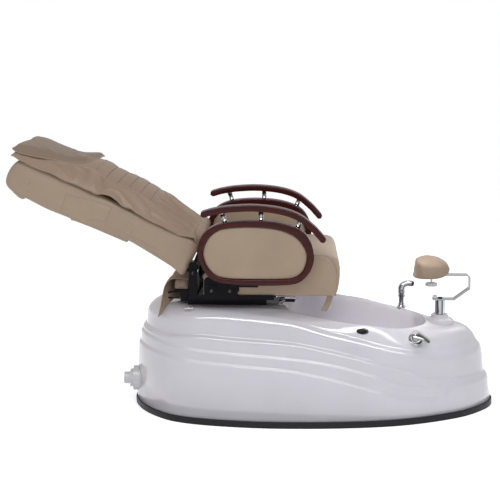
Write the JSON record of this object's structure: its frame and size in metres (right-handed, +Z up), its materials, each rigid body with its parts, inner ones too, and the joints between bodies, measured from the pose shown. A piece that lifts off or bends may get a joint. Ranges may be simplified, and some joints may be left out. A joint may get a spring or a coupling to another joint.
{
  "type": "pedicure chair",
  "caption": "Salon pedicure chair: a reclining massage seat with wooden arms sliding on a moulded jetted foot tub, with a mixer, hand spray and padded foot rest.",
  "frame": {"origin": "centre of the tub's length and width on the floor, under the middle levelling foot", "axes": "+X towards the foot rest, -Y the side with the mixer, +Z up"},
  "size_m": [1.9156, 0.75, 1.0603],
  "materials": {
    "tub": "glossy white moulded acrylic",
    "trim": "matt black kick trim",
    "frame_steel": "black powder coat",
    "zinc": "zinc plated",
    "chrome": "polished chrome",
    "white_pvc": "white pipe plastic",
    "black_plastic": "black plastic",
    "white_plastic": "white plastic",
    "plywood": "bare plywood",
    "leather": "tan upholstery leather",
    "mahogany": "polished red-brown wood"
  },
  "bodies": {
    "tub": {"tub_shell": "tub", "kick_trim": "trim", "base_frame": "frame_steel", "levelling_feet": "frame_steel", "basin_drain": "chrome", "drain_pipe": "white_pvc", "drain_union": "white_pvc", "jet_nozzle": "white_plastic", "jet_pump": "black_plastic", "jet_pipe": "white_pvc", "deck_bolts": "zinc", "slide_base": "frame_steel", "slide_rails": "zinc", "button_bezel": "black_plastic", "mixer_base": "chrome", "spray_base": "chrome", "post_collar": "tub", "foot_post": "chrome", "post_plug": "black_plastic"},
    "carriage": {"slide_runners": "zinc", "seat_frame": "frame_steel", "seat_board": "plywood", "seat_cushion": "leather", "front_tab": "leather", "seat_pan": "black_plastic", "hinge_pins": "zinc", "rear_pad": "leather", "rear_skirt": "leather", "control_box": "black_plastic", "motor_cable": "black_plastic", "recline_motor": "black_plastic"},
    "backrest": {"back_frame": "frame_steel", "back_box": "leather", "back_cover": "leather", "head_flap": "leather", "lumbar_pad": "leather", "massage_rails": "zinc"},
    "massage_unit": {"massage_carriage": "black_plastic", "massage_rollers": "white_plastic"},
    "button": {"air_button": "black_plastic"},
    "mixer": {"mixer_body": "chrome"},
    "lever": {"mixer_lever": "chrome"},
    "spray": {"spray_head": "chrome"},
    "swing_bracket": {"foot_bracket": "zinc"},
    "clamp": {"clamp_knob": "white_plastic"},
    "pad": {"pad_board": "plywood", "foot_pad": "leather"},
    "pad_screw": {"pad_knob": "white_plastic"},
    "release": {"release_bail": "chrome", "release_grip": "black_plastic"},
    "arm_near": {"arm_bracket_near": "frame_steel", "arm_ring_near": "mahogany", "arm_pad_near": "leather", "arm_rail_near": "mahogany", "arm_posts_near": "chrome"},
    "arm_far": {"arm_bracket_far": "frame_steel", "arm_ring_far": "mahogany", "arm_pad_far": "leather", "arm_rail_far": "mahogany", "arm_posts_far": "chrome"}
  },
  "joints": [
    {"name": "seat_slide", "type": "slide", "parent": "tub", "child": "carriage", "axis": [1, 0, 0], "range_m": [-0.1, 0]},
    {"name": "recline", "type": "hinge", "parent": "carriage", "child": "backrest", "pos_m": [-0.472, 0, 0.582], "axis": [0, 1, 0], "range_deg": [0, 48]},
    {"name": "massage_travel", "type": "slide", "parent": "backrest", "child": "massage_unit", "axis": [-0.9033, 0, 0.4289], "range_m": [-0.24, 0.24]},
    {"name": "button_press", "type": "slide", "parent": "tub", "child": "button", "axis": [-0.1045, 0.8508, -0.515], "range_m": [0, 0.003], "stiffness_N_per_m": 400, "springref_m": -0.002},
    {"name": "mixer_turn", "type": "hinge", "parent": "tub", "child": "mixer", "pos_m": [0.39, -0.215, 0.313], "axis": [0.1116, -0.633, 0.766], "range_deg": [-45, 45]},
    {"name": "lever_tilt", "type": "hinge", "parent": "mixer", "child": "lever", "pos_m": [0.37791, -0.23121, 0.34275], "axis": [-0.3772, -0.7402, -0.5567], "range_deg": [0, 18]},
    {"name": "spray_pull", "type": "slide", "parent": "tub", "child": "spray", "axis": [0, 0, 1], "range_m": [0, 0.12]},
    {"name": "foot_swing", "type": "hinge", "parent": "tub", "child": "swing_bracket", "pos_m": [0.509, 0, 0.43], "axis": [0, 0, 1], "range_deg": [-120, 120]},
    {"name": "clamp_turn", "type": "hinge", "parent": "swing_bracket", "child": "clamp", "pos_m": [0.488, 0, 0.43], "axis": [0, 0, 1], "range_deg": [-180, 180]},
    {"name": "pad_shift", "type": "slide", "parent": "swing_bracket", "child": "pad", "axis": [1, 0, 0], "range_m": [-0.015, 0.015]},
    {"name": "pad_screw_turn", "type": "hinge", "parent": "pad", "child": "pad_screw", "pos_m": [0.472, 0, 0.49], "axis": [0, 0, 1], "range_deg": [-360, 360]},
    {"name": "release_pull", "type": "hinge", "parent": "carriage", "child": "release", "pos_m": [-0.15, -0.208, 0.482], "axis": [0, -1, 0], "range_deg": [0, 5], "stiffness_Nm_per_rad": 0.6, "springref_deg": -17.19},
    {"name": "arm_lift_near", "type": "hinge", "parent": "carriage", "child": "arm_near", "pos_m": [-0.394, -0.29, 0.527], "axis": [0, -1, 0], "range_deg": [0, 75]},
    {"name": "arm_lift_far", "type": "hinge", "parent": "carriage", "child": "arm_far", "pos_m": [-0.394, 0.29, 0.527], "axis": [0, -1, 0], "range_deg": [0, 75]}
  ]
}
